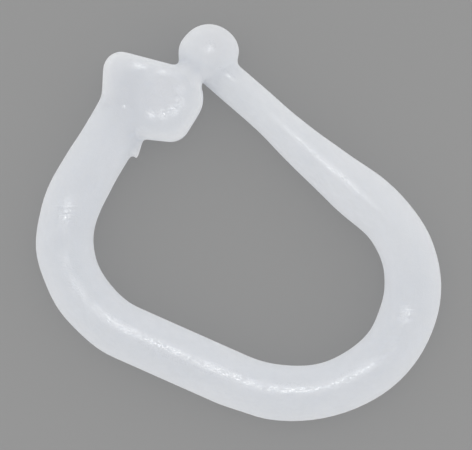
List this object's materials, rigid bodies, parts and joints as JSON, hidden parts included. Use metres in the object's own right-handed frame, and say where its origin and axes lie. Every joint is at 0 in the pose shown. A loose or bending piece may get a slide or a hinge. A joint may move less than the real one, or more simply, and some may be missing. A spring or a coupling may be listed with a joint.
{
  "type": "blind pleat clip",
  "caption": "Moulded plastic ring for gathering blind pleats: a round-section loop whose tapering spring arm ends in a ball that latches on a slotted head.",
  "frame": {"origin": "centre of the outline, on the plane that the clip lies on", "axes": "+X along the straight base run, from the leg's side to the arm's; +Y from the base run towards the head; +Z out of the front face, which has the dish"},
  "size_m": [0.0206, 0.0174, 0.0029],
  "materials": {
    "natural_plastic": "milky, slightly translucent, satin"
  },
  "bodies": {
    "root": {"pleat_clip": "natural_plastic"}
  },
  "joints": []
}
